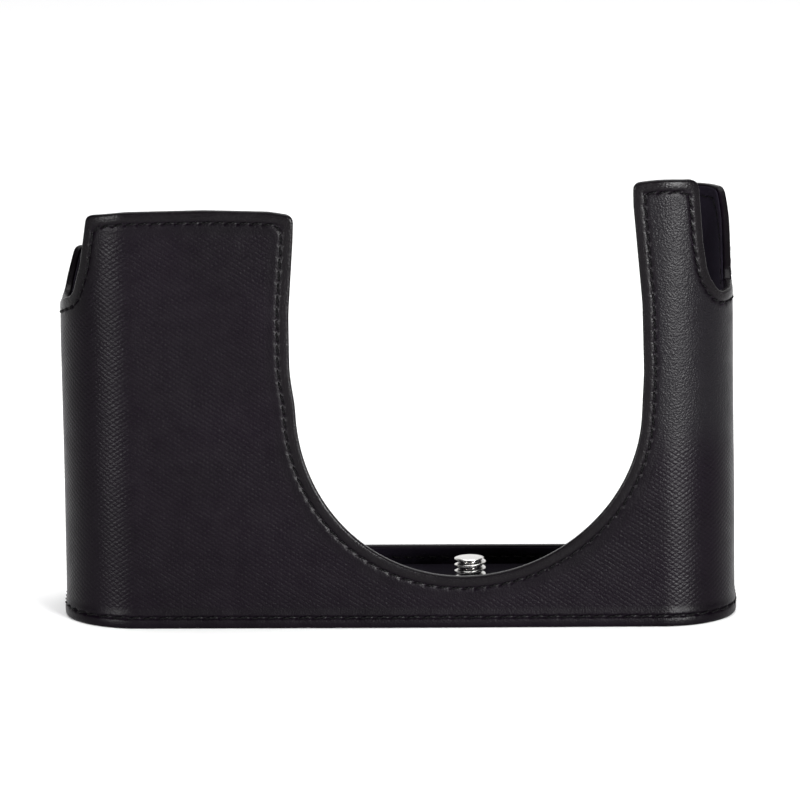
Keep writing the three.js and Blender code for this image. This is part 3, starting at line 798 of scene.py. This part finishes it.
def leather_finish(name, colour):
    """Black grained leather: fine pebbles, weave lens shapes with a painted highlight, glossier
    rim, painted sheen on the pillar.
    """
    skin = Surface(name, colour, 0.4, Specular_IOR_Level=0.06)
    cloud = skin.noise(60, 4)
    tone = skin.blend(skin.span(cloud, 0.35, 0.65), shade(colour, 0.8), shade(colour, 1.25))
    rim, mark, pillar_pebbles_and_sheen = skin.mark("rim"), skin.mark("weave"), skin.mark("pebbles_and_painted_sheen")
    lens = skin.maths("MULTIPLY", pressed_weave(skin), mark)
    tone = skin.blend(skin.maths("MULTIPLY", rim, 0.8), tone, (0.0026, 0.0022, 0.0026))
    # Painted highlight: the raised lens shapes of the weave are painted lighter, standing in for
    # the highlights on their upper slopes.
    tone = skin.blend(skin.maths("MULTIPLY", lens, 0.6), tone, shade(colour, 1.8))
    pores = skin.cells(2600)
    pebbles = skin.cells(3000, "SMOOTH_F1")
    grain = skin.noise(5200, 3)
    # Painted sheen: the pebbled pillar is painted lighter where it turns towards the right-hand
    # light. The same mask below sets its real pebble grain.
    tone = skin.blend(skin.maths("MULTIPLY", pillar_pebbles_and_sheen, 0.8), tone, (0.0036, 0.0032, 0.004))
    pillar_pebbles_and_sheen = skin.span(pillar_pebbles_and_sheen, 0, 1, 0.12, 1)
    worn = skin.span(skin.noise(240, 5), 0.3, 0.7, 0.31, 0.41)
    glossy = skin.maths("SUBTRACT", worn, skin.maths("MULTIPLY", rim, 0.1))
    normal = skin.bump(skin.maths("MULTIPLY", pebbles, pillar_pebbles_and_sheen), 0.00008, 0.9)
    normal = skin.bump(lens, 0.00003, 0.9, normal)
    normal = skin.bump(pores, 0.00005, 0.6, normal)
    normal = skin.bump(grain, 0.00002, 0.5, normal)
    return skin.connect(Base_Color=tone, Roughness=glossy, Normal=normal)


def suede_finish(name, colour):
    """Short napped suede with brushed lighter and darker patches."""
    nap = Surface(name, colour, 0.95, Specular_IOR_Level=0.04, Sheen_Weight=0.02,
                  Sheen_Roughness=0.5, Sheen_Tint=(0.6, 0.5, 0.75, 1))
    brushed = nap.noise(140, 5)
    tone = nap.blend(nap.span(brushed, 0.3, 0.7), shade(colour, 0.65), shade(colour, 1.5))
    fibres = nap.noise(4200, 4, roughness=0.7)
    tone = nap.blend(nap.span(fibres, 0.35, 0.7, 0, 0.5), tone, shade(colour, 2))
    normal = nap.bump(fibres, 0.00012, 0.9)
    normal = nap.bump(brushed, 0.0002, 0.3, normal)
    return nap.connect(Base_Color=tone, Normal=normal)


def thread_finish(name, colour):
    """Waxed two-ply thread: slanted plies along each stitch."""
    ply = Surface(name, colour, 0.55, Specular_IOR_Level=0.05)
    split = ply.pattern()
    along, around = split.outputs["X"], split.outputs["Y"]
    twist = ply.maths("ADD", ply.maths("MULTIPLY", along, 9.0), ply.maths("MULTIPLY", around, 2.0))
    strands = ply.maths("SINE", twist)
    hair = ply.noise(9000, 3)
    tone = ply.blend(ply.span(strands, -1, 1), shade(colour, 0.5), shade(colour, 1.7))
    normal = ply.bump(strands, 0.00006, 0.7)
    normal = ply.bump(hair, 0.00002, 0.5, normal)
    rough = ply.span(hair, 0.3, 0.7, 0.4, 0.65)
    return ply.connect(Base_Color=tone, Roughness=rough, Normal=normal)


def nickel_finish(name, colour):
    """Bright nickel plate with faint turning marks and fine scratches."""
    plate = Surface(name, colour, 0.2, Metallic=1.0)
    centred = plate.node("ShaderNodeMapping", Vector=plate.place(),
                         Location=(-SCREW.x * MM, 0, 0)).outputs["Vector"]
    marks = plate.node("ShaderNodeTexWave", {"wave_type": "RINGS", "rings_direction": "Z"},
                       Vector=centred, Scale=900, Distortion=1.5, Detail=2).outputs["Fac"]
    scratches = plate.noise(2600, 5)
    clouds = plate.noise(300, 3)
    tone = plate.blend(plate.span(clouds, 0.3, 0.7), shade(colour, 0.9), colour)
    rough = plate.span(scratches, 0.3, 0.75, 0.12, 0.3)
    normal = plate.bump(marks, 0.000006, 0.5)
    normal = plate.bump(scratches, 0.000008, 0.5, normal)
    return plate.connect(Base_Color=tone, Roughness=rough, Normal=normal)


def steel_finish(name, colour):
    """Plain rolled steel with long rolling marks."""
    sheet = Surface(name, colour, 0.4, Metallic=1.0)
    stretched = sheet.node("ShaderNodeMapping", Vector=sheet.place(),
                           Scale=(0.06, 1, 1)).outputs["Vector"]
    marks = sheet.noise(5000, 4, stretched)
    tone = sheet.blend(sheet.span(marks, 0.3, 0.7), shade(colour, 0.75), shade(colour, 1.15))
    rough = sheet.span(marks, 0.3, 0.7, 0.3, 0.5)
    return sheet.connect(Base_Color=tone, Roughness=rough, Normal=sheet.bump(marks, 0.00001, 0.6))


def board_finish(name, colour):
    """Compressed leather fibre board, flecked."""
    board = Surface(name, colour, 0.9)
    flecks = board.noise(1800, 6, roughness=0.7)
    tone = board.blend(board.span(flecks, 0.35, 0.65), shade(colour, 0.6), shade(colour, 1.3))
    return board.connect(Base_Color=tone, Normal=board.bump(flecks, 0.00008, 0.7))


def tape_finish(name, colour):
    """Narrow woven tape."""
    tape = Surface(name, colour, 0.85)
    split = tape.node("ShaderNodeSeparateXYZ", Vector=tape.place())
    upright = tape.maths("SINE", tape.maths("MULTIPLY", split.outputs["Z"], 9000.0))
    level = tape.maths("SINE", tape.maths("MULTIPLY", split.outputs["Y"], 9000.0))
    weave = tape.maths("MULTIPLY", upright, level)
    tone = tape.blend(tape.span(weave, -1, 1), shade(colour, 0.6), shade(colour, 1.5))
    return tape.connect(Base_Color=tone, Normal=tape.bump(weave, 0.00005, 0.8))


FINISHES = {
    "leather": leather_finish,
    "base_leather": leather_finish,
    "suede": suede_finish,
    "board": board_finish,
    "tape": tape_finish,
    "thread": thread_finish,
    "nickel": nickel_finish,
    "steel": steel_finish,
}


def finish(slot):
    """The material of a slot, made the first time that it is asked for."""
    found = bpy.data.materials.get("half_case_" + slot)
    if found:
        return found
    entry = next(m for m in frame["record"]["materials"] if m["slot"] == slot)
    colour = tuple(getattr(bpy.context.scene.case_finishes, slot, entry["base_color"]))
    return FINISHES[slot]("half_case_" + slot, colour)


# ---- settings

def number(name, description, default, **kind):
    return FloatProperty(name=name, description=description, default=default, **kind)


def tint(name, description, default):
    return FloatVectorProperty(name=name, description=description, default=default,
                               subtype="COLOR", size=3, min=0, max=1)


class WallSizes(bpy.types.PropertyGroup):
    """Sizes of the leather's surface."""

    weave_length: number(
        "Weave length", "Length of one pressed weave mark along the wall", 0.0016, unit="LENGTH")
    weave_height: number("Weave height", "Height of one pressed weave mark", 0.001, unit="LENGTH")
    weave_relief: number(
        "Weave relief", "How far the weave stands above the leather", 0.00003, unit="LENGTH")
    groove_depth: number(
        "Groove depth", "Depth of the groove that the stitches lie in", 0.00022, unit="LENGTH")
    edge_pitch: number(
        "Edge stitch pitch", "Length of one stitch along the upper edges", 0.0025, unit="LENGTH")
    foot_pitch: number(
        "Foot stitch pitch", "Length of one stitch round the foot", 0.0031, unit="LENGTH")
    thread_diameter: number("Thread", "Diameter of the sewing thread", 0.00042, unit="LENGTH")
    stitch_slant: number(
        "Slant", "How far each stitch turns off its row", math.radians(10), subtype="ANGLE")


class CaseFinishes(bpy.types.PropertyGroup):
    """Colours of the visible finishes."""

    leather: tint("Leather", "Colour of the walls", (0.0009, 0.0003, 0.0011))
    base_leather: tint("Base leather", "Colour of the underside", (0.004, 0.0033, 0.0044))
    suede: tint("Suede", "Colour of the lining", (0.0018, 0.0013, 0.0026))
    thread: tint("Thread", "Colour of the sewing thread", (0.0008, 0.0007, 0.0009))


class StageSettings(bpy.types.PropertyGroup):
    """Camera and lights."""

    camera_rise: number(
        "Camera rise", "Angle of the camera above the table", math.radians(12), subtype="ANGLE")
    camera_distance: number(
        "Camera distance", "Distance from the camera to the case", 2.0, unit="LENGTH")
    camera_roll: number(
        "Camera roll", "Turn of the camera about its view", math.radians(-0.25), subtype="ANGLE")
    camera_lens: number("Lens", "Focal length in millimetres", 447.0)
    camera_height: number("Aim height", "Height that the camera looks at", 0.04225, unit="LENGTH")
    key_power: number("Overhead light", "Power of the large light above", 14.0)
    left_power: number("Left light", "Power of the soft light at the front left", 18.0)
    right_power: number("Right light", "Power of the soft light at the front right", 38.0)
    room_light: number("Room light", "Strength of the even light from behind", 1.0)
    front_light: number("Front light", "Strength of the even light from the front", 0.06)


# ---- operators

class CASE_OT_walls(bpy.types.Operator):
    """Make the front and back leather panels"""

    bl_idname = "half_case.walls"
    bl_label = "Leather Walls"

    def execute(self, context):
        sizes = context.scene.case_walls
        foot_holes = foot_stitches(sizes)[2]
        for side, line in panel_edges():
            holes = edge_stitches(line, sizes)[2]
            panel = wall_leather(side + "_panel", line, holes, foot_holes, sizes)
            place(panel, "leather", side + "_leather")
        return {"FINISHED"}


class CASE_OT_linings(bpy.types.Operator):
    """Make the suede lining of the walls and the floor"""

    bl_idname = "half_case.linings"
    bl_label = "Suede Linings"

    def execute(self, context):
        sizes = context.scene.case_walls
        floor_low, floor_high = (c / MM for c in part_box("floor_lining"))
        for side, line in panel_edges():
            holes = edge_stitches(line, sizes)[2]
            lining = wall_lining(side + "_suede", line, holes, floor_low.z)
            place(lining, "suede", side + "_lining")
        border, top, bottom = LINING_OUT + 0.1, floor_high.z, floor_low.z
        rim = [(border + n, z) for n, z in (
            (3, top), (1, top), (0.35, top - 0.03), (0.1, top - 0.14), (0, top - 0.35), (0, bottom),
            (3, bottom))]
        hole = [(FLOOR_HOLE + n, z) for n, z in (
            (1.5, top), (0.4, top - 0.03), (0.08, top - 0.15), (0, top - 0.35), (0, bottom),
            (1.5, bottom))]
        place(base_plate("floor_suede", rim, hole), "suede", "floor_lining")
        return {"FINISHED"}


class CASE_OT_stitches(bpy.types.Operator):
    """Make every stitch of the upper edges and of the foot"""

    bl_idname = "half_case.stitches"
    bl_label = "Stitches"

    def execute(self, context):
        sizes = context.scene.case_walls
        for side, line in panel_edges():
            middle, along, _ = edge_stitches(line, sizes)
            outside = thread_tubes(middle, along, 0, -1, sizes)
            inside_row = thread_tubes(middle, along, LINING_OUT, 1, sizes)
            row = join_tubes(side + "_edge_stitches", [outside, inside_row])
            place(row, "thread", side + "_edge_thread")
        middle, along, _ = foot_stitches(sizes)
        surface = -float(foot_flare(np.array(FOOT_STITCH_Z)))
        row = join_tubes("foot_stitches", [thread_tubes(middle, along, surface, -1, sizes)])
        place(row, "thread", "base_seam_thread")
        return {"FINISHED"}


class CASE_OT_base(bpy.types.Operator):
    """Make the leather tray under the floor"""

    bl_idname = "half_case.base"
    bl_label = "Base Tray"

    def execute(self, context):
        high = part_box("base_leather")[1] / MM
        border = LEATHER + 0.05
        inner = TURNED
        leather_top = 1.1
        rim = [(inner + 4, leather_top), (inner, leather_top), (inner, high.z), (border, high.z),
               (border, 0.5), (border + 0.04, 0.25), (border + 0.15, 0.1), (border + 0.35, 0.02),
               (border + 0.7, 0), (inner + 4, 0)]
        hole = [(BASE_HOLE + n, z) for n, z in (
            (2, leather_top), (0, leather_top), (0, 0.4), (0.05, 0.2), (0.25, 0.04), (0.6, 0),
            (2, 0))]
        place(base_plate("base_tray", rim, hole), "base_leather", "base_leather")
        return {"FINISHED"}


class CASE_OT_screw(bpy.types.Operator):
    """Make the captive screw, its trim ring and its retaining clip"""

    bl_idname = "half_case.screw"
    bl_label = "Camera Screw"

    def execute(self, context):
        screw = screw_body()
        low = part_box("tripod_screw")[0] / MM
        slot_length, slot_width, slot_depth = 14, 1.6, 0.8
        shape = bmesh.new()
        bmesh.ops.create_cube(shape, size=1)
        for vertex in shape.verts:
            lip = 0.25 if vertex.co.z < 0 else 0
            vertex.co.x *= slot_length + lip
            vertex.co.y *= slot_width + lip
            vertex.co.z = low.z + (slot_depth if vertex.co.z > 0 else -0.4)
            vertex.co = (vertex.co + Vector((SCREW.x, 0, 0))) * MM
        cut(screw, object_of(shape, "slot"))
        place(screw, "nickel", "tripod_screw", "camera_screw")

        low, high = (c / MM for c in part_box("screw_trim_ring"))
        outer, inner = (high.x - low.x) / 2, 10.4
        corner = 0.35
        arc = np.linspace(0, math.pi / 2, 7)
        across, along = corner * (1 - np.cos(arc)), corner * (1 - np.sin(arc))
        profile = [(inner, high.z), *zip(inner + across, low.z + along)]
        profile += [*zip(outer - along, low.z + across), (outer, high.z)]
        place(turned_ring("screw_ring", profile), "nickel", "screw_trim_ring")

        place(retaining_clip(), "steel", "retaining_clip", "screw_clip")
        return {"FINISHED"}


def retaining_clip():
    """An open ring of spring steel with softened edges."""
    low, high = (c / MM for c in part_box("retaining_clip"))
    outer, inner, gap = 5.2, 2.5, 0.62
    turn = np.linspace(gap, 2 * math.pi - gap, 60)
    waist = inner + 0.35 * (0.5 + 0.5 * np.cos(3 * turn)) ** 2
    path = [(outer * math.cos(a), outer * math.sin(a)) for a in turn]
    path += [(w * math.cos(a), w * math.sin(a)) for a, w in zip(turn[::-1], waist[::-1])]
    shape = bmesh.new()
    corners = [shape.verts.new(((SCREW.x + x) * MM, y * MM, low.z * MM)) for x, y in path]
    sheet = shape.faces.new(corners)
    grown = bmesh.ops.extrude_face_region(shape, geom=[sheet])
    for item in grown["geom"]:
        if isinstance(item, bmesh.types.BMVert):
            item.co.z = high.z * MM
    bmesh.ops.recalc_face_normals(shape, faces=shape.faces)
    piece = object_of(shape, "screw_clip_ring")
    modifier = piece.modifiers.new("soft edges", "BEVEL")
    modifier.width = 0.08 * MM
    modifier.segments = 2
    modifier.angle_limit = math.radians(40)
    apply_modifiers(piece)
    return piece


class CASE_OT_inner_parts(bpy.types.Operator):
    """Give the frame's own boards, tapes, plate and rivets their finishes"""

    bl_idname = "half_case.inner_parts"
    bl_label = "Inner Parts"

    def execute(self, context):
        slots = {part["node"]: part["material_slot"] for part in frame["record"]["subparts"]}
        for name, node in frame["nodes"].items():
            if node.hide_render:
                continue
            node.data.materials.clear()
            node.data.materials.append(finish(slots[name]))
        return {"FINISHED"}


class CASE_OT_stage(bpy.types.Operator):
    """Set up the floor, the lights and the camera"""

    bl_idname = "half_case.stage"
    bl_label = "Stage"

    def execute(self, context):
        settings = context.scene.case_stage
        self.make_floor()
        self.make_lights(settings)
        self.make_world(settings)
        self.make_camera(context.scene, settings)
        context.scene.view_settings.view_transform = "Standard"
        return {"FINISHED"}

    def make_floor(self):
        corners = [(-3, -3, 0), (3, -3, 0), (3, 3, 0), (-3, 3, 0)]
        floor = finish_mesh("table", corners, [(0, 1, 2, 3)])
        paper = Surface("white paper", (0.9, 0.9, 0.903), 0.7, Specular_IOR_Level=0.2)
        normal = paper.bump(paper.noise(400, 3), 0.00001, 0.2)
        floor.data.materials.append(paper.connect(Normal=normal))

    def add_light(self, name, place_at, aim, size, power):
        light = bpy.data.lights.new(name, "AREA")
        light.shape = "RECTANGLE"
        light.size, light.size_y = size
        light.energy = power
        lamp = bpy.data.objects.new(name, light)
        lamp.location = place_at
        lamp.rotation_euler = (Vector(aim) - Vector(place_at)).to_track_quat("-Z", "Y").to_euler()
        bpy.context.scene.collection.objects.link(lamp)

    def make_lights(self, settings):
        self.add_light("overhead", (0, 0.13, 1.0), (0, 0.22, 0), (0.9, 0.9), settings.key_power)
        for side, power in ((-1, settings.left_power), (1, settings.right_power)):
            across = 0.55 if side > 0 else 0.8
            self.add_light("side", (side * across, -0.95, 0.16), (side * 0.04, 0, 0.05),
                           (0.4, 0.32), power)

    def make_world(self, settings):
        """A room that is bright behind the case and dim in front of it."""
        world = bpy.data.worlds.new("studio")
        bpy.context.scene.world = world
        world.use_nodes = True
        tree = world.node_tree
        where = tree.nodes.new("ShaderNodeTexCoord")
        split = tree.nodes.new("ShaderNodeSeparateXYZ")
        level = tree.nodes.new("ShaderNodeMapRange")
        level.inputs["From Min"].default_value = 0.2
        level.inputs["From Max"].default_value = 0.9
        level.inputs["To Min"].default_value = settings.front_light
        level.inputs["To Max"].default_value = settings.room_light
        tree.links.new(where.outputs["Generated"], split.inputs["Vector"])
        tree.links.new(split.outputs["Y"], level.inputs["Value"])
        background = tree.nodes["Background"]
        background.inputs["Color"].default_value = (1, 1, 1, 1)
        tree.links.new(level.outputs["Result"], background.inputs["Strength"])

    def make_camera(self, scene, settings):
        lens = bpy.data.cameras.new("camera")
        lens.lens = settings.camera_lens
        lens.sensor_width = 36
        lens.clip_end = 20
        camera = bpy.data.objects.new("camera", lens)
        rise, distance = settings.camera_rise, settings.camera_distance
        aim = Vector((0, 0, settings.camera_height))
        back = Vector((0, -math.cos(rise), math.sin(rise)))
        camera.location = aim + distance * back
        upright = Matrix.Rotation(math.pi / 2 - rise, 4, "X")
        camera.rotation_euler = (upright @ Matrix.Rotation(settings.camera_roll, 4, "Z")).to_euler()
        scene.collection.objects.link(camera)
        scene.camera = camera


class CASE_PT_panel(bpy.types.Panel):
    """Buttons for every group of pieces of the half case"""

    bl_idname = "CASE_PT_panel"
    bl_label = "Half Case"
    bl_space_type = "VIEW_3D"
    bl_region_type = "UI"
    bl_category = "Half Case"

    def draw(self, context):
        for operator in OPERATORS:
            self.layout.operator(operator.bl_idname)
        for name, cls in SETTINGS.items():
            for key in cls.__annotations__:
                self.layout.prop(getattr(context.scene, name), key)


SETTINGS = {"case_walls": WallSizes, "case_finishes": CaseFinishes, "case_stage": StageSettings}
OPERATORS = [CASE_OT_stage, CASE_OT_walls, CASE_OT_linings, CASE_OT_stitches, CASE_OT_base,
             CASE_OT_screw, CASE_OT_inner_parts]


def register():
    for cls in [*SETTINGS.values(), *OPERATORS, CASE_PT_panel]:
        bpy.utils.register_class(cls)
    for name, cls in SETTINGS.items():
        setattr(bpy.types.Scene, name, PointerProperty(type=cls))


def unregister():
    for name in SETTINGS:
        delattr(bpy.types.Scene, name)
    for cls in [CASE_PT_panel, *reversed(OPERATORS), *SETTINGS.values()]:
        bpy.utils.unregister_class(cls)


def main():
    register()
    bpy.ops.half_case.stage()
    bpy.ops.half_case.walls()
    bpy.ops.half_case.linings()
    bpy.ops.half_case.stitches()
    bpy.ops.half_case.base()
    bpy.ops.half_case.screw()
    bpy.ops.half_case.inner_parts()


if __name__ == "__main__":
    main()
